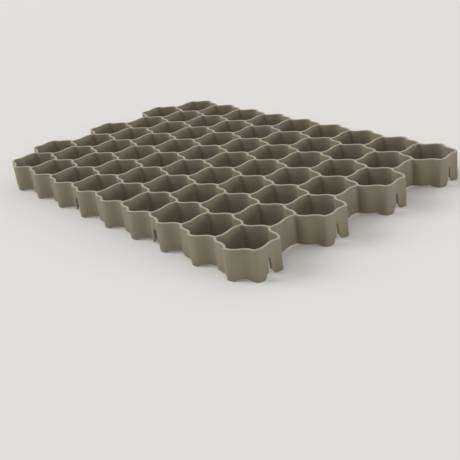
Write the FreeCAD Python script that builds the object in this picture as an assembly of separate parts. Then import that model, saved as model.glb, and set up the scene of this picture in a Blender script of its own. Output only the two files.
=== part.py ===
"""Grass paver grid: one moulded honeycomb panel with waved walls, edge slots and edge tongues.

Millimetres, +Z up. The rows of cells run along X and follow each other along Y. The panel lies on
the plane Z = 0, and the middle of its outline is the origin.
"""
import FreeCAD
import Part
import math
import os
from types import SimpleNamespace

Vector = FreeCAD.Vector

# Driving sizes: alias, value, meaning
SIZES = (
    ("cell_pitch", 61.0, "centre to centre of the cells along a row"),
    ("cells_per_row", 9, "cells in each row"),
    ("row_count", 7, "rows of cells, each half a cell on from the one before"),
    ("wall_thickness", 2.8, "thickness of every wall"),
    ("wall_height", 38.0, "height of the panel"),
    ("junction_shift", 2.5, "how far a corner stands off the regular hexagon, along Y"),
    ("wave_depth", 2.1, "how far a wall swings to each side of its straight line"),
    ("cell_corner_cut", 2.6, "length of the softened corners inside the cells, along the walls"),
    ("rim_corner_cut", 3.4, "length of the softened free corners of the rim, along the walls"),
    ("slot_width", 7.0, "width of an edge slot"),
    ("slot_top", 22.0, "height of the top of an edge slot"),
    ("slot_interval", 3, "cells from one slot to the next along the long side"),
    ("arch_width", 17.0, "width of the arch at the foot of a slot"),
    ("arch_height", 7.5, "height of that arch"),
    ("arch_flare", 2.5, "radius where the arch meets the ground"),
    ("relief_height", 2.5, "how far the lower edge of the rim stands off the ground"),
    ("foot_radius", 8.0, "reach of the foot left at a free corner of the rim"),
    ("foot_slope", 5.0, "run of the slope from a foot up to the relieved edge"),
    ("tongue_reach", 4.0, "how far a tongue stands out from the middle of its wall"),
    ("tongue_clearance", 0.6, "gap all round between a tongue and the slot that takes it"),
    ("cut_margin", 1.0, "how far a cutting shape runs past what it cuts"),
)

CORNERS = 6
# Walls of a cell, counted counter-clockwise from the corner that points along +Y
WALL_TO_LEFT = 1
WALL_TO_FRONT_LEFT = 2
WALL_TO_RIGHT = 4
WALL_TO_BACK_RIGHT = 5
# Way to the cell across each wall: rows along +Y and half cells along -X
WAYS_ACROSS = ((1, 1), (0, 2), (-1, 1), (-1, -1), (0, -2), (1, -1))
# Bends of a waved wall: share of its length, and the side to which it has swung (right is 1)
WAVE_BENDS = ((1 / 6, 1), (2 / 6, 1), (4 / 6, -1), (5 / 6, -1))
RUNS = len(WAVE_BENDS) + 1


def make_sheet(doc):
    """Spreadsheet with one aliased cell for each driving size."""
    sheet = doc.addObject("Spreadsheet::Sheet", "Sizes")
    for line, (alias, value, meaning) in enumerate(SIZES, start=1):
        sheet.set(f"A{line}", alias)
        sheet.set(f"B{line}", str(value))
        sheet.set(f"C{line}", meaning)
        sheet.setAlias(f"B{line}", alias)
    doc.recompute()
    return sheet


def read_sizes(sheet):
    """The sheet's values by name, with the counts as whole numbers."""
    size = SimpleNamespace(**{alias: float(sheet.get(alias)) for alias, _, _ in SIZES})
    size.cells_per_row = round(size.cells_per_row)
    size.row_count = round(size.row_count)
    size.slot_interval = round(size.slot_interval)
    return size


def cells(size):
    """Row and place of every cell of the panel."""
    return [(row, place) for row in range(size.row_count) for place in range(size.cells_per_row)]


def cell_across(size, row, place, number):
    """Row and place of the cell on the other side of a wall, or None where the panel ends."""
    rows, half_cells = WAYS_ACROSS[number % CORNERS]
    other_row = row + rows
    other_place = (2 * place + row % 2 + half_cells - other_row % 2) // 2
    if 0 <= other_row < size.row_count and 0 <= other_place < size.cells_per_row:
        return other_row, other_place
    return None


def is_free(size, row, place, number):
    """Whether a corner of a cell belongs to no other cell."""
    return not (cell_across(size, row, place, number - 1) or cell_across(size, row, place, number))


def cell_corners(size, row, place):
    """The six corners of a cell, counter-clockwise from the one that points along +Y."""
    row_pitch = size.cell_pitch * math.sqrt(3) / 2
    corner_radius = size.cell_pitch / math.sqrt(3)
    steps = place + row % 2 / 2 - (size.cells_per_row - 0.5) / 2
    centre = Vector(-steps * size.cell_pitch, (row - (size.row_count - 1) / 2) * row_pitch)
    corners = []
    for number in range(CORNERS):
        turn = number * 2 * math.pi / CORNERS
        shift = size.junction_shift if number % 2 else -size.junction_shift
        if is_free(size, row, place, number) and number % 3:
            shift = 0  # the free corners at the two ends of the panel
        reach = Vector(-math.sin(turn), math.cos(turn)) * corner_radius
        corners.append(centre + reach + Vector(0, shift))
    return corners


def wall_ends(size, row, place, number):
    """Start and end of one wall of a cell, counter-clockwise."""
    corners = cell_corners(size, row, place)
    return corners[number], corners[(number + 1) % CORNERS]


def point_key(point):
    """The same key for points that meet."""
    return round(point.x, 3), round(point.y, 3)


def rim_corners(size):
    """Corners round the panel in order, along the walls with no cell across them."""
    walls = [(*cell, number) for cell in cells(size) for number in range(CORNERS)]
    ends = [wall_ends(size, *wall) for wall in walls if cell_across(size, *wall) is None]
    following = {point_key(start): end for start, end in ends}
    corners = [wall_ends(size, 0, 0, WALL_TO_RIGHT)[0]]
    while len(corners) < len(following):
        corners.append(following[point_key(corners[-1])])
    return corners


def free_corners(size):
    """Corners of the rim that belong to one cell only."""
    corners = []
    for cell in cells(size):
        numbered = enumerate(cell_corners(size, *cell))
        corners += [corner for number, corner in numbered if is_free(size, *cell, number)]
    return corners


def waved_loop(size, corners):
    """Centre line of waved walls from junction to junction, each first swinging to its right."""
    points = []
    for start, end in zip(corners, corners[1:] + corners[:1]):
        along = end - start
        aside = Vector(along.y, -along.x).normalize() * size.wave_depth
        points.append(start)
        points += [start + along * share + aside * side for share, side in WAVE_BENDS]
    return points


def neighbours(points):
    """Each point of a closed loop with the one before and the one after it."""
    return zip(points[-1:] + points[:-1], points, points[1:] + points[:1])


def parallel_loop(points, distance):
    """Corners of the loop that runs outside a counter-clockwise one, at a distance from its sides."""
    moved = []
    for before, here, after in neighbours(points):
        into = (here - before).normalize()
        out = (after - here).normalize()
        mitre = Vector(into.y + out.y, -into.x - out.x)
        moved.append(here + mitre * (2 * distance / mitre.dot(mitre)))
    return moved


def softened_loop(points, cut):
    """The loop with the outward corners at its junctions cut off at a length along both walls."""
    softened = []
    for number, (before, here, after) in enumerate(neighbours(points)):
        into = (here - before).normalize()
        out = (after - here).normalize()
        outward = into.cross(out).z > 0
        if number % RUNS == 0 and outward:
            softened += [here - into * cut, here + out * cut]
        else:
            softened.append(here)
    return softened


def closed_wire(points):
    """Straight sides through the points and back to the first."""
    return Part.makePolygon(points + points[:1])


def flat_plan(outline, openings):
    """Flat face inside a counter-clockwise outline, less the openings in it."""
    return Part.Face([closed_wire(outline)] + [closed_wire(opening[::-1]) for opening in openings])


def lattice(size):
    """All walls at full height: the outer edge of the rim, with every cell open through it."""
    half_wall = size.wall_thickness / 2
    outline = parallel_loop(waved_loop(size, rim_corners(size)), half_wall)
    openings = []
    for cell in cells(size):
        opening = parallel_loop(waved_loop(size, cell_corners(size, *cell)), -half_wall)
        openings.append(softened_loop(opening, size.cell_corner_cut))
    plan = flat_plan(softened_loop(outline, size.rim_corner_cut), openings)
    return plan.extrude(Vector(0, 0, size.wall_height))


def corner_feet(size):
    """Six-sided feet under the free corners of the rim, widening up to the relieved edge."""
    slope = size.foot_slope / size.relief_height
    turns = [number * 2 * math.pi / CORNERS for number in range(CORNERS)]
    rings = []
    for level in (-2 * size.cut_margin, size.relief_height + size.cut_margin):
        reach = size.foot_radius + slope * level
        rings.append([Vector(reach * math.cos(turn), reach * math.sin(turn), level) for turn in turns])
    low, high = rings
    sides = zip(low, low[1:] + low[:1], high[1:] + high[:1], high)
    faces = [Part.Face(closed_wire(list(corners))) for corners in [low, high, *sides]]
    foot = Part.makeSolid(Part.makeShell(faces))
    return Part.makeCompound([foot.translated(corner) for corner in free_corners(size)])


def rim_relief(size):
    """What is taken off under the rim: a band along the rim wall, less the feet at its free corners."""
    rim = waved_loop(size, rim_corners(size))
    reach = size.wall_thickness / 2 + size.cut_margin
    plan = flat_plan(parallel_loop(rim, reach), [parallel_loop(rim, -reach)])
    band = plan.translated(Vector(0, 0, -size.cut_margin))
    return band.extrude(Vector(0, 0, size.relief_height + size.cut_margin)).cut(corner_feet(size))


def chain(points):
    """Straight edges from point to point."""
    return [Part.makeLine(start, end) for start, end in zip(points, points[1:])]


def upright_prism(half_outline, depth_back, depth_front):
    """Prism along Y from the left half of an upright outline in XZ that is the same to both sides."""
    mirrored = [edge.mirror(Vector(0, 0, 0), Vector(1, 0, 0)) for edge in half_outline]
    outline = Part.Wire(Part.sortEdges(half_outline + mirrored)[0])
    face = Part.Face(outline).translated(Vector(0, -depth_front, 0))
    return face.extrude(Vector(0, depth_front + depth_back, 0))


def round_top(half_width, top):
    """Left half of a round top: its shoulder, and the arc from there to the middle."""
    shoulder = Vector(-half_width, 0, top - half_width)
    eighth = half_width * math.sqrt(0.5)
    arc = Part.Arc(shoulder, Vector(-eighth, 0, shoulder.z + eighth), Vector(0, 0, top))
    return shoulder, arc.toShape()


def slot_cutter(size):
    """Round-topped upright slot that opens into a flared arch at the ground."""
    half_slot = size.slot_width / 2
    half_arch = size.arch_width / 2
    rise = size.arch_height - size.arch_flare

    def arch_point(across):
        return Vector(-across, 0, size.arch_flare + rise * math.sqrt(1 - (across / half_arch) ** 2))

    ground = Vector(-half_arch - size.arch_flare, 0, 0)
    below = ground - Vector(0, 0, size.cut_margin)
    spring = arch_point(half_arch)
    neck = arch_point(half_slot)
    shoulder, top_arc = round_top(half_slot, size.slot_top)
    eighth = math.sqrt(0.5)
    flare_middle = ground + Vector(eighth, 0, 1 - eighth) * size.arch_flare
    half_outline = chain([Vector(0, 0, below.z), below, ground])
    half_outline.append(Part.Arc(ground, flare_middle, spring).toShape())
    half_outline.append(Part.Arc(spring, arch_point((half_arch + half_slot) / 2), neck).toShape())
    half_outline += chain([neck, shoulder])
    half_outline.append(top_arc)
    depth = size.wall_thickness + 2 * size.wave_depth
    return upright_prism(half_outline, depth, depth)


def tongue(size):
    """Round-topped tongue that fits a slot, from the middle of its wall out to its reach."""
    half_width = size.slot_width / 2 - size.tongue_clearance
    foot = Vector(-half_width, 0, size.relief_height)
    shoulder, top_arc = round_top(half_width, size.slot_top - size.tongue_clearance)
    half_outline = chain([Vector(0, 0, foot.z), foot, shoulder])
    half_outline.append(top_arc)
    return upright_prism(half_outline, 0, size.tongue_reach)


def wall_middle(size, start, end):
    """Placement at the middle of a waved wall, with its X axis along the wall there."""
    along = end - start
    (left_share, left_side), (right_share, right_side) = WAVE_BENDS[1:3]
    crossing = (left_side - right_side) * size.wave_depth
    slope = math.atan2(crossing, (right_share - left_share) * along.Length)
    turn = math.degrees(math.atan2(along.y, along.x) + slope)
    return FreeCAD.Placement(start + along / 2, FreeCAD.Rotation(Vector(0, 0, 1), turn))


def on_walls(size, shape, walls):
    """Copies of an upright shape at the middles of the named walls."""
    copies = []
    for wall in walls:
        copy = shape.copy()
        copy.Placement = wall_middle(size, *wall_ends(size, *wall))
        copies.append(copy)
    return Part.makeCompound(copies)


def slot_walls(size):
    """Walls with a slot: the right end of every other row, and every few cells along the front."""
    ends = [(row, 0, WALL_TO_RIGHT) for row in range(0, size.row_count, 2)]
    places = range(size.slot_interval - 1, size.cells_per_row, size.slot_interval)
    return ends + [(0, place, WALL_TO_FRONT_LEFT) for place in places]


def tongue_walls(size):
    """Walls with a tongue: those that meet the slots of the next panel to the left and at the back."""
    ends = [(row, size.cells_per_row - 1, WALL_TO_LEFT) for row in range(0, size.row_count, 2)]
    places = range(size.slot_interval - 1, size.cells_per_row, size.slot_interval)
    return ends + [(size.row_count - 1, place, WALL_TO_BACK_RIGHT) for place in places]


def build(doc):
    """The panel: the lattice with its rim relieved, its slots cut in and its tongues added."""
    size = read_sizes(make_sheet(doc))
    slots = on_walls(size, slot_cutter(size), slot_walls(size))
    tongues = on_walls(size, tongue(size), tongue_walls(size))
    panel = doc.addObject("Part::Feature", "paver_grid")
    panel.Label = "paver_grid"
    panel.Shape = lattice(size).cut(rim_relief(size)).cut(slots).fuse(tongues)
    doc.recompute()
    return panel


def check(doc, panel):
    """Stop if any object failed or the panel isn't one sound solid."""
    for item in doc.Objects:
        if "Invalid" in item.State or "Error" in item.State:
            raise RuntimeError(f"{item.Name} failed: {item.State}")
    shape = panel.Shape
    if shape.isNull() or not shape.isValid():
        raise RuntimeError("the panel isn't a valid shape")
    if len(shape.Solids) != 1:
        raise RuntimeError(f"the panel has {len(shape.Solids)} solids, not one")


def main():
    doc = FreeCAD.newDocument("grass_paver_grid")
    panel = build(doc)
    check(doc, panel)
    os.makedirs("parts", exist_ok=True)
    panel.Shape.Solids[0].exportStep(f"parts/{panel.Label}.step")
    box = panel.Shape.BoundBox
    print(f"{panel.Label}: {box.XLength:.2f} x {box.YLength:.2f} x {box.ZLength:.2f} mm,"
          f" {panel.Shape.Volume / 1000:.1f} cm3")


main()
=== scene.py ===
"""Looks of the grass paver grid: one moulded honeycomb panel, with its floor, light and camera.

Sizes are millimetres in the functions and metres in the meshes. The frame is the part's own: rows of
cells run along X, the next row lies along +Y, +Z is up and the panel lies on the plane Z = 0.
"""
import math

import bmesh
import bpy
import numpy as np
from mathutils import Matrix, Vector

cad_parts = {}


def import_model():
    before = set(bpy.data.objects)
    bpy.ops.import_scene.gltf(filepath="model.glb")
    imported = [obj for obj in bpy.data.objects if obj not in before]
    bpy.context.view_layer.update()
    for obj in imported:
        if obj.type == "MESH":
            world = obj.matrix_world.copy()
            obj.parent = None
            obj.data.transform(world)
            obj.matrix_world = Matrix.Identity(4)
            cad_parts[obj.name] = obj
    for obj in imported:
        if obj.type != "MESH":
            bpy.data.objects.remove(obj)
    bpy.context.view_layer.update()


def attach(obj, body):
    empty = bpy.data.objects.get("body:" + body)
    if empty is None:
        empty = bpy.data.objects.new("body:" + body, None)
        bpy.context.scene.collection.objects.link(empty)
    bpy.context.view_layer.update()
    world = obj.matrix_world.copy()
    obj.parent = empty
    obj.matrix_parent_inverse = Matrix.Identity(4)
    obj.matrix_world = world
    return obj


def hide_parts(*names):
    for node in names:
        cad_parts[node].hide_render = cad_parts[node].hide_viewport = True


MM = 0.001
FULL_TURN = 2 * math.pi

# The panel
PITCH = 61.0
CELLS_PER_ROW = 9
ROWS = 7
WALL = 2.75
HEIGHT = 38.0
JUNCTION_SHIFT = 2.5
WAVE_DEPTH = 2.07
CELL_CORNER_REACH = 1.8
RIM_CORNER_REACH = 1.0
TOP_ROUND = 0.55
FOOT_ROUND = 0.35

# The lower edge: feet at the free corners of the rim, and inner walls that rise where they join the rim
RELIEF = 2.5
FOOT_FLAT = 5.0
FOOT_RUN = 9.0
JOIN_FLAT = 2.0
JOIN_RUN = 2.5

# Edge slots, narrower towards the top, with a flared arch at the foot
SLOT_FOOT_HALF = 4.1
SLOT_TOP_HALF = 3.0
SLOT_TOP = 22.0
SLOT_INTERVAL = 3
ARCH_HALF = 8.5
ARCH_TOP = 7.5
ARCH_FLARE = 2.5
ARCH_END = ARCH_HALF + ARCH_FLARE
EDGE_TOLERANCE = 1e-6

# Tongues that fit the slots: on the way outwards, the scale of the outline and its distance from the wall
TONGUE_GAP = 0.6
TONGUE_REACH = 4.0
TONGUE_SCALES = (0.0, 1.0, 1.0, 0.95, 0.82, 0.0)
TONGUE_STEPS = (0.0, 0.0, TONGUE_REACH - 0.6, TONGUE_REACH - 0.15, TONGUE_REACH, TONGUE_REACH)
TONGUE_BOW_POINTS = 17

# Stations along a wall, from one junction up to the next
STATIONS = 30
STATION_BUNCHING = 0.7
# Stations of a slotted wall: distances from its junctions, and from its middle on the parts of the opening
JUNCTION_STATIONS = (0.8, 1.8, 3.4)
FLARE_STATIONS = (ARCH_END, 9.6)
ARCH_STATIONS = (ARCH_HALF, 6.8, 5.2, SLOT_FOOT_HALF + 0.06)
SLOT_STATIONS = (SLOT_FOOT_HALF, SLOT_TOP_HALF, 2.4, 1.3)

# Corners of a cell, and its walls by number, counter-clockwise from the corner that points along +Y
CORNERS = 6
WALL_TO_LEFT = 1
WALL_TO_FRONT_LEFT = 2
WALL_TO_RIGHT = 4
WALL_TO_BACK_RIGHT = 5
# How many cells share a free corner, a junction of the rim with an inner wall, and a wall of the rim
FREE_CORNER_CELLS = 1
RIM_JUNCTION_CELLS = 2
RIM_WALL_CELLS = 1

# Closing the mesh: distances in metres, and the angle in degrees past which an edge stays hard
SEAM_DISTANCE = 2e-6
SPECK_SIZE = 1e-7
HARD_ANGLE = 52

# Colours of the plastic: cloudy between dark and pale, streaked along the draw, and a painted highlight that
# makes the rims paler
CLOUD_DARK = (0.195, 0.172, 0.116, 1.0)
CLOUD_PALE = (0.235, 0.209, 0.146, 1.0)
STREAK = (0.220, 0.196, 0.136, 1.0)
# Painted highlight: pale colour on the rims standing in for light falling on the top edges
PAINTED_RIM_HIGHLIGHT = (0.398, 0.361, 0.284, 1.0)
# Depths below the top at which the painted rim highlight starts and is full
RIM_HIGHLIGHT_START = 0.9
RIM_HIGHLIGHT_FULL = 0.1

# Floor, in metres, and surroundings, with their strength as light and as background
FLOOR_SIZE = 16.0
FLOOR_COLOUR = (0.83, 0.82, 0.80, 1.0)
SURROUNDINGS_COLOUR = (1.0, 0.99, 0.97, 1.0)
SURROUNDINGS_LIGHT = 0.63
SURROUNDINGS_SEEN = 0.86

# Camera: angles in degrees, the point that it looks at, its distance, and its move to the right
AZIMUTH = 52.28
ELEVATION = 23.59
ROLL = -7.45
TARGET = (209.7, -170.5, 38.0)
DISTANCE = 877.7
PAN = 22.7
SENSOR_WIDTH = 36.0
FOCAL_PIXELS = 792.0
PICTURE_PIXELS = 460.0


def smooth_step(x):
    """0 below 0, 1 above 1, and the cubic 3x^2 - 2x^3 between."""
    x = np.clip(x, 0.0, 1.0)
    return x * x * (3.0 - 2.0 * x)


def cell_number(row, place):
    """Number of a cell in the arrays, which run row by row."""
    return row * CELLS_PER_ROW + place


def meeting_count(points):
    """How many of the points lie on each point's place."""
    flat = np.round(points.reshape(-1, 2), 3)
    _, place, count = np.unique(flat, axis=0, return_inverse=True, return_counts=True)
    return count[place.ravel()].reshape(points.shape[:-1])


def junction_points():
    """Six corners of every cell: a regular hexagon about its centre, with every other row half a pitch along.

    The corners are moved along Y, to and fro in turn, except the free corners at the two ends of the panel.
    """
    row, place = np.divmod(np.arange(ROWS * CELLS_PER_ROW), CELLS_PER_ROW)
    centre_x = -(place + row % 2 / 2 - (CELLS_PER_ROW - 0.5) / 2) * PITCH
    centre_y = (row - (ROWS - 1) / 2) * PITCH * math.sqrt(3) / 2
    number = np.arange(CORNERS)
    turn = number * math.pi / 3
    radius = PITCH / math.sqrt(3)
    x = centre_x[:, None] - np.sin(turn) * radius
    y = centre_y[:, None] + np.cos(turn) * radius
    corners = np.stack([x, y], -1)
    end_corner = (meeting_count(corners) == FREE_CORNER_CELLS) & (number % 3 > 0)
    shift = np.where(number % 2, JUNCTION_SHIFT, -JUNCTION_SHIFT)
    corners[..., 1] += np.where(end_corner, 0.0, shift)
    return corners


def locking_walls(end_place, end_wall, side_row, side_wall):
    """Cell numbers and wall numbers of the walls that lock with the next panels.

    They are at one end of every other row, and on every third cell of one long side.
    """
    ends = [(cell_number(row, end_place), end_wall) for row in range(0, ROWS, 2)]
    places = range(SLOT_INTERVAL - 1, CELLS_PER_ROW, SLOT_INTERVAL)
    sides = [(cell_number(side_row, place), side_wall) for place in places]
    return tuple(np.array(ends + sides).T)


def wave_slope(length):
    """Slope of the wave where it crosses the straight line: depth times 2 pi over the wall's length."""
    return WAVE_DEPTH * FULL_TURN / length


def station_shares(length, slotted):
    """Shares of each wall's length at which it is worked out, closer together near the junctions.

    On a plain wall u - bunching times sin(2 pi u) / 2 pi for even steps of u. On a slotted wall the stations
    stand at the edges of the slot and of its arch, measured along the wall from its middle.
    """
    even = np.arange(STATIONS) / STATIONS
    bunched = even - STATION_BUNCHING / FULL_TURN * np.sin(FULL_TURN * even)
    plain = np.broadcast_to(bunched, length.shape + (STATIONS,))
    stretch = np.hypot(1.0, wave_slope(length))[..., None]
    half = length[..., None] / 2 * stretch
    near_junction = half - np.array(JUNCTION_STATIONS)
    between = (near_junction[..., -1:] + ARCH_END) / 2
    near_slot = np.array(FLARE_STATIONS + ARCH_STATIONS + SLOT_STATIONS)
    near_slot = np.broadcast_to(near_slot, length.shape + near_slot.shape)
    left = -np.concatenate([half, near_junction, between, near_slot], -1)
    middle = np.zeros(length.shape + (1,))
    along = np.concatenate([left, middle, -left[..., :0:-1]], -1)
    return np.where(slotted[..., None], 0.5 + along / stretch / length[..., None], plain)


def waved_walls(start, end, share):
    """Centre lines of the walls: the straight line plus depth times sin(2 pi share) to its right."""
    along = (end - start)[..., None, :]
    aside = np.stack([along[..., 1], -along[..., 0]], -1) / np.linalg.norm(along, axis=-1, keepdims=True)
    swing = WAVE_DEPTH * np.sin(FULL_TURN * share)[..., None]
    return start[..., None, :] + along * share[..., None] + aside * swing


def slot_edge(along):
    """Height of the opening at a distance along the wall from its middle.

    A half circle at the top of the slot, its straight sloping side, an elliptic arch and a quarter circle
    that flares out to the lower edge.
    """
    across = np.abs(along)
    shoulder = SLOT_TOP - SLOT_TOP_HALF
    bow = shoulder + np.sqrt(np.clip(SLOT_TOP_HALF**2 - across**2, 0.0, None))
    down = (across - SLOT_TOP_HALF) / (SLOT_FOOT_HALF - SLOT_TOP_HALF)
    slot = np.where(across <= SLOT_TOP_HALF, bow, shoulder + (ARCH_TOP - shoulder) * down)
    rise = ARCH_TOP - ARCH_FLARE
    arch = ARCH_FLARE + rise * np.sqrt(np.clip(1 - (across / ARCH_HALF) ** 2, 0.0, None))
    flare_in = np.clip(ARCH_END - across, 0.0, ARCH_FLARE)
    flare = ARCH_FLARE - np.sqrt(ARCH_FLARE**2 - flare_in**2)
    foot = np.where(across <= ARCH_HALF, arch, flare)
    return np.where(across <= SLOT_FOOT_HALF + EDGE_TOLERANCE, slot, foot)


def lower_edges(share, length, on_rim, start_count, end_count, slotted):
    """Height of the lower edge at every station of every wall.

    Under the rim it is the relief times a smooth step away from each free corner, where a foot is left.
    An inner wall stands on the ground and rises to the relief only where it joins the rim. A slotted wall
    takes the height of its opening where that is more.
    """
    length = length[..., None]
    from_start = share * length
    under_rim, inside = 1.0, 0.0
    for distance, count in ((from_start, start_count), (length - from_start, end_count)):
        off_foot = smooth_step((distance - FOOT_FLAT) / FOOT_RUN)
        at_join = 1 - smooth_step((distance - JOIN_FLAT) / JOIN_RUN)
        under_rim = np.minimum(under_rim, np.where(count[..., None] == FREE_CORNER_CELLS, off_foot, 1.0))
        inside = np.maximum(inside, np.where(count[..., None] == RIM_JUNCTION_CELLS, at_join, 0.0))
    low = RELIEF * np.where(on_rim[..., None], under_rim, inside)
    along = (share - 0.5) * length * np.hypot(1.0, wave_slope(length))
    return np.where(slotted[..., None], np.maximum(low, slot_edge(along)), low)


def rim_order(start, end, on_rim):
    """Cell numbers and wall numbers of the rim walls, each wall after the one that ends where it starts."""
    walls = np.argwhere(on_rim)
    starts = [tuple(point) for point in np.round(start[on_rim], 3)]
    ends = [tuple(point) for point in np.round(end[on_rim], 3)]
    following = {point: number for number, point in enumerate(starts)}
    order = [0]
    while len(order) < len(walls):
        order.append(following[ends[order[-1]]])
    return tuple(walls[order].T)


def softened(loops, reach):
    """Closed loops with their corners rounded.

    Each point is the mean of its neighbours, weighted by the bell curve exp(-(distance / reach)^2 / 2) of
    the distance along the loop, and by the length that each neighbour covers.
    """
    step = np.linalg.norm(np.roll(loops, -1, axis=-2) - loops, axis=-1)
    place = np.cumsum(step, -1) - step
    total = step.sum(-1)[..., None, None]
    gap = np.abs(place[..., :, None] - place[..., None, :])
    gap = np.minimum(gap, total - gap)
    cover = (step + np.roll(step, 1, -1)) / 2
    weight = np.exp(-0.5 * (gap / reach) ** 2) * cover[..., None, :]
    return weight @ loops / weight.sum(-1, keepdims=True)


def right_side(loops):
    """Unit vectors to the right of closed loops, square to the line from the point before to the next."""
    along = np.roll(loops, -1, axis=-2) - np.roll(loops, 1, axis=-2)
    along /= np.linalg.norm(along, axis=-1, keepdims=True)
    return np.stack([along[..., 1], -along[..., 0]], -1)


def half_wall(lines, low, side, corner_reach):
    """One side of the walls along closed centre lines, as a profile carried along them.

    The profile starts on the centre line on top and goes across to the rounded upper edge. It goes down the
    face, which is the line softened by the corner reach and set off by half a wall, to the right where side
    is 1 and to the left where it is -1. Then it goes round the lower edge and back to the centre line.
    """
    face = softened(lines, corner_reach)
    face = face + right_side(face) * (side * WALL / 2)
    top_in = 2 * TOP_ROUND / WALL
    foot_in = 2 * FOOT_ROUND / WALL
    arc_middle = 1 - math.sqrt(0.5)
    across = np.array([0, 1 - top_in, 1 - top_in * arc_middle, 1, 1, 1, 1 - foot_in, 0])
    from_top = np.array([0, 0, arc_middle * TOP_ROUND, TOP_ROUND, 0, 0, 0, 0])
    from_low = np.array([0, 0, 0, 0, 0, FOOT_ROUND, 0, 0])
    share = np.array([1, 1, 1, 1, 0.5, 0, 0, 0])
    height = low[..., None] + (HEIGHT - low[..., None]) * share - from_top + from_low
    plan = lines[..., None, :] + (face - lines)[..., None, :] * across[:, None]
    return np.concatenate([plan, height[..., None]], -1)


def strip_quads(loops, stations, steps, turned):
    """Quads of grids that close on themselves along the stations and stay open along the steps."""
    number = np.arange(loops * stations * steps).reshape(loops, stations, steps)
    after = np.roll(number, -1, axis=1)
    corners = [number[..., :-1], after[..., :-1], after[..., 1:], number[..., 1:]]
    quads = np.stack(corners[::-1] if turned else corners, -1)
    return quads.reshape(-1, 4)


def tongue_forms(start, end):
    """Tongues at the middles of walls: an outline carried outwards and drawn in at its front edge.

    The outline goes over a half circle on top, down one side and up the other, and it widens towards the
    foot as the slot does. At each step it is scaled towards its own middle and moved out to the wall's right.
    """
    half = SLOT_TOP_HALF - TONGUE_GAP
    foot_half = SLOT_FOOT_HALF - TONGUE_GAP
    middle_half = (half + foot_half) / 2
    shoulder = SLOT_TOP - TONGUE_GAP - half
    bow = np.linspace(0.0, math.pi, TONGUE_BOW_POINTS)
    across = np.concatenate([half * np.cos(bow), [-middle_half, -foot_half, foot_half, middle_half]])
    middle = (RELIEF + shoulder) / 2
    height = np.concatenate([shoulder + half * np.sin(bow), [middle, RELIEF, RELIEF, middle]])
    scale = np.array(TONGUE_SCALES)
    reach = np.array(TONGUE_STEPS)
    along = end - start
    length = np.linalg.norm(along, axis=-1, keepdims=True)
    right = np.stack([along[:, 1], -along[:, 0]], -1) / length
    tangent = along / length - right * wave_slope(length)
    tangent /= np.linalg.norm(tangent, axis=-1, keepdims=True)
    outward = np.stack([tangent[:, 1], -tangent[:, 0]], -1)
    centre = (start + end) / 2
    plan = centre[:, None, None] + tangent[:, None, None] * (across[:, None] * scale)[None, :, :, None]
    plan = plan + outward[:, None, None] * reach[:, None]
    level = middle + (height - middle)[:, None] * scale
    level = np.broadcast_to(level, plan.shape[:-1])
    return np.concatenate([plan, level[..., None]], -1)


def panel_mesh():
    """The whole panel: the inner half walls of all cells, the outer half wall of the rim, and the tongues."""
    start = junction_points()
    end = np.roll(start, -1, axis=1)
    length = np.linalg.norm(end - start, axis=-1)
    count = meeting_count(start)
    on_rim = meeting_count((start + end) / 2) == RIM_WALL_CELLS
    slotted = np.zeros(on_rim.shape, bool)
    slotted[locking_walls(0, WALL_TO_RIGHT, 0, WALL_TO_FRONT_LEFT)] = True
    share = station_shares(length, slotted)
    lines = waved_walls(start, end, share)
    low = lower_edges(share, length, on_rim, count, np.roll(count, -1, axis=1), slotted)

    cells = half_wall(lines.reshape(len(lines), -1, 2), low.reshape(len(low), -1), -1, CELL_CORNER_REACH)
    rim = rim_order(start, end, on_rim)
    outside = half_wall(lines[rim].reshape(1, -1, 2), low[rim].reshape(1, -1), 1, RIM_CORNER_REACH)
    tongued = locking_walls(CELLS_PER_ROW - 1, WALL_TO_LEFT, ROWS - 1, WALL_TO_BACK_RIGHT)
    tongues = tongue_forms(start[tongued], end[tongued])

    points, quads, taken = [], [], 0
    for form, turned in ((cells, False), (outside, True), (tongues, False)):
        points.append(form.reshape(-1, 3))
        quads.append(strip_quads(*form.shape[:3], turned) + taken)
        taken += len(points[-1])
    mesh = bpy.data.meshes.new("moulded_panel")
    mesh.from_pydata(np.concatenate(points) * MM, [], np.concatenate(quads))
    return mesh


def close_seams(mesh):
    """Joins the points that meet on the centre lines, drops flat leftovers and smooths the soft edges."""
    work = bmesh.new()
    work.from_mesh(mesh)
    bmesh.ops.remove_doubles(work, verts=work.verts, dist=SEAM_DISTANCE)
    bmesh.ops.dissolve_degenerate(work, edges=work.edges, dist=SPECK_SIZE)
    work.to_mesh(mesh)
    work.free()
    mesh.shade_smooth()
    mesh.set_sharp_from_angle(angle=math.radians(HARD_ANGLE))


def add_nodes(tree, **kinds):
    """Nodes of a tree by name, each made as the given kind."""
    return {name: tree.nodes.new(kind) for name, kind in kinds.items()}


def set_inputs(node, values):
    """Sets the input sockets of a node by their names."""
    for name, value in values.items():
        node.inputs[name].default_value = value


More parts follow.
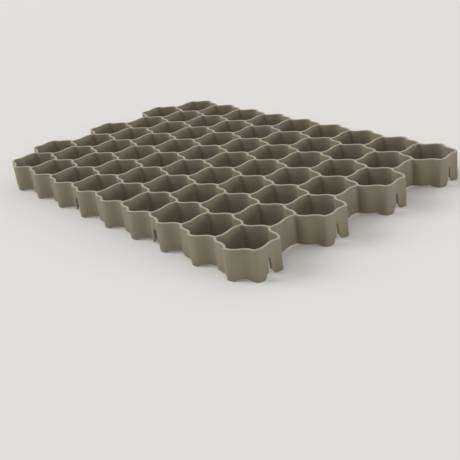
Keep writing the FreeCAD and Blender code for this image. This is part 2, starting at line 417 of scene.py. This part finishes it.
def moulded_plastic():
    """Grey-brown moulded plastic with a fine grain.

    Its colour is cloudy and streaked along the draw. Towards the rims it turns paler, by a smooth
    step of the height, as a painted highlight on the top edges.
    """
    material = bpy.data.materials.new("moulded_plastic")
    material.use_nodes = True
    tree = material.node_tree
    shader = tree.nodes["Principled BSDF"]
    node = add_nodes(
        tree,
        place="ShaderNodeTexCoord",
        axes="ShaderNodeSeparateXYZ",
        rim="ShaderNodeMapRange",
        stretch="ShaderNodeMapping",
        streaks="ShaderNodeTexNoise",
        cloud="ShaderNodeTexNoise",
        grain="ShaderNodeTexNoise",
        uneven="ShaderNodeMix",
        body="ShaderNodeMix",
        scuffed="ShaderNodeMix",
        gloss="ShaderNodeMapRange",
        relief="ShaderNodeBump",
    )
    link = tree.links.new
    node["rim"].interpolation_type = "SMOOTHSTEP"
    for name in ("uneven", "body", "scuffed"):
        node[name].data_type = "RGBA"

    place = node["place"].outputs["Object"]
    link(place, node["axes"].inputs["Vector"])
    link(node["axes"].outputs["Z"], node["rim"].inputs["Value"])
    rim_start = (HEIGHT - RIM_HIGHLIGHT_START) * MM
    rim_full = (HEIGHT - RIM_HIGHLIGHT_FULL) * MM
    set_inputs(node["rim"], {"From Min": rim_start, "From Max": rim_full})

    link(place, node["stretch"].inputs["Vector"])
    set_inputs(node["stretch"], {"Scale": (1.0, 1.0, 0.08)})
    link(node["stretch"].outputs["Vector"], node["streaks"].inputs["Vector"])
    set_inputs(node["streaks"], {"Scale": 260.0, "Detail": 3.0})
    link(place, node["cloud"].inputs["Vector"])
    set_inputs(node["cloud"], {"Scale": 18.0, "Detail": 4.0})
    link(place, node["grain"].inputs["Vector"])
    set_inputs(node["grain"], {"Scale": 1400.0, "Detail": 2.0})

    set_inputs(node["uneven"], {"A": CLOUD_DARK, "B": CLOUD_PALE})
    link(node["cloud"].outputs["Fac"], node["uneven"].inputs["Factor"])
    link(node["uneven"].outputs["Result"], node["body"].inputs["A"])
    set_inputs(node["body"], {"B": STREAK})
    link(node["streaks"].outputs["Fac"], node["body"].inputs["Factor"])
    # Painted highlight: near the top the colour turns to the pale rim colour, standing in for light on the
    # top edges
    link(node["body"].outputs["Result"], node["scuffed"].inputs["A"])
    set_inputs(node["scuffed"], {"B": PAINTED_RIM_HIGHLIGHT})
    link(node["rim"].outputs["Result"], node["scuffed"].inputs["Factor"])
    link(node["scuffed"].outputs["Result"], shader.inputs["Base Color"])

    link(node["cloud"].outputs["Fac"], node["gloss"].inputs["Value"])
    set_inputs(node["gloss"], {"To Min": 0.46, "To Max": 0.60})
    link(node["gloss"].outputs["Result"], shader.inputs["Roughness"])
    link(node["grain"].outputs["Fac"], node["relief"].inputs["Height"])
    set_inputs(node["relief"], {"Strength": 0.12, "Distance": 0.0003})
    link(node["relief"].outputs["Normal"], shader.inputs["Normal"])
    return material


def pale_floor():
    """Wide plain floor under the panel."""
    bpy.ops.mesh.primitive_plane_add(size=FLOOR_SIZE)
    floor = bpy.context.object
    floor.name = "floor"
    material = bpy.data.materials.new("pale_floor")
    material.use_nodes = True
    shader = material.node_tree.nodes["Principled BSDF"]
    set_inputs(shader, {"Base Color": FLOOR_COLOUR, "Roughness": 0.9})
    floor.data.materials.append(material)


def soft_sun(name, source, spread, power):
    """Even light from the direction of a point, softened by its spread in degrees."""
    data = bpy.data.lights.new(name, "SUN")
    data.angle = math.radians(spread)
    data.energy = power
    lamp = bpy.data.objects.new(name, data)
    lamp.location = source
    lamp.rotation_euler = (-Vector(source)).to_track_quat("-Z", "Y").to_euler()
    bpy.context.scene.collection.objects.link(lamp)


def studio_light():
    """Pale surroundings, wide light from the left in front and weaker low light from the right.

    As a background, seen directly, mirrored or through something clear, they are brighter than as light.
    """
    world = bpy.data.worlds.new("studio")
    bpy.context.scene.world = world
    world.use_nodes = True
    tree = world.node_tree
    node = add_nodes(
        tree,
        path="ShaderNodeLightPath",
        mirrored="ShaderNodeMath",
        shown="ShaderNodeMath",
        seen="ShaderNodeMix",
    )
    link = tree.links.new
    link(node["path"].outputs["Is Glossy Ray"], node["mirrored"].inputs[0])
    link(node["path"].outputs["Is Transmission Ray"], node["mirrored"].inputs[1])
    link(node["path"].outputs["Is Camera Ray"], node["shown"].inputs[0])
    link(node["mirrored"].outputs["Value"], node["shown"].inputs[1])
    set_inputs(node["seen"], {"A": SURROUNDINGS_LIGHT, "B": SURROUNDINGS_SEEN})
    link(node["shown"].outputs["Value"], node["seen"].inputs["Factor"])
    background = tree.nodes["Background"]
    set_inputs(background, {"Color": SURROUNDINGS_COLOUR})
    link(node["seen"].outputs["Result"], background.inputs["Strength"])
    soft_sun("left", source=(-1.6, -1.2, 1.2), spread=40.0, power=1.42)
    soft_sun("right", source=(2.0, 1.0, 0.32), spread=20.0, power=0.72)


def photo_camera():
    """Camera above the front corner, slightly rolled."""
    azimuth, elevation, roll = (math.radians(angle) for angle in (AZIMUTH, ELEVATION, ROLL))
    level_share = math.cos(elevation)
    back = Vector((math.sin(azimuth) * level_share, -math.cos(azimuth) * level_share, math.sin(elevation)))
    level = Vector((math.cos(azimuth), math.sin(azimuth), 0.0))
    upward = back.cross(level)
    right = level * math.cos(roll) + upward * math.sin(roll)
    up = upward * math.cos(roll) - level * math.sin(roll)
    place = Vector(TARGET) * MM + back * (DISTANCE * MM) + right * (PAN * MM)
    data = bpy.data.cameras.new("camera")
    data.sensor_width = SENSOR_WIDTH
    data.lens = SENSOR_WIDTH * FOCAL_PIXELS / PICTURE_PIXELS
    camera = bpy.data.objects.new("camera", data)
    turned = Matrix((right, up, back)).transposed().to_4x4()
    camera.matrix_world = Matrix.Translation(place) @ turned
    bpy.context.scene.collection.objects.link(camera)
    bpy.context.scene.camera = camera


def main():
    """Builds the panel in the part's frame, hides the imported part and sets the panel on its floor with
    light and camera.
    """
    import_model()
    bpy.context.scene.view_settings.view_transform = "Standard"
    mesh = panel_mesh()
    close_seams(mesh)
    mesh.materials.append(moulded_plastic())
    panel = bpy.data.objects.new("moulded_panel", mesh)
    bpy.context.scene.collection.objects.link(panel)
    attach(panel, "root")
    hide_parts("paver_grid")
    pale_floor()
    studio_light()
    photo_camera()


main()
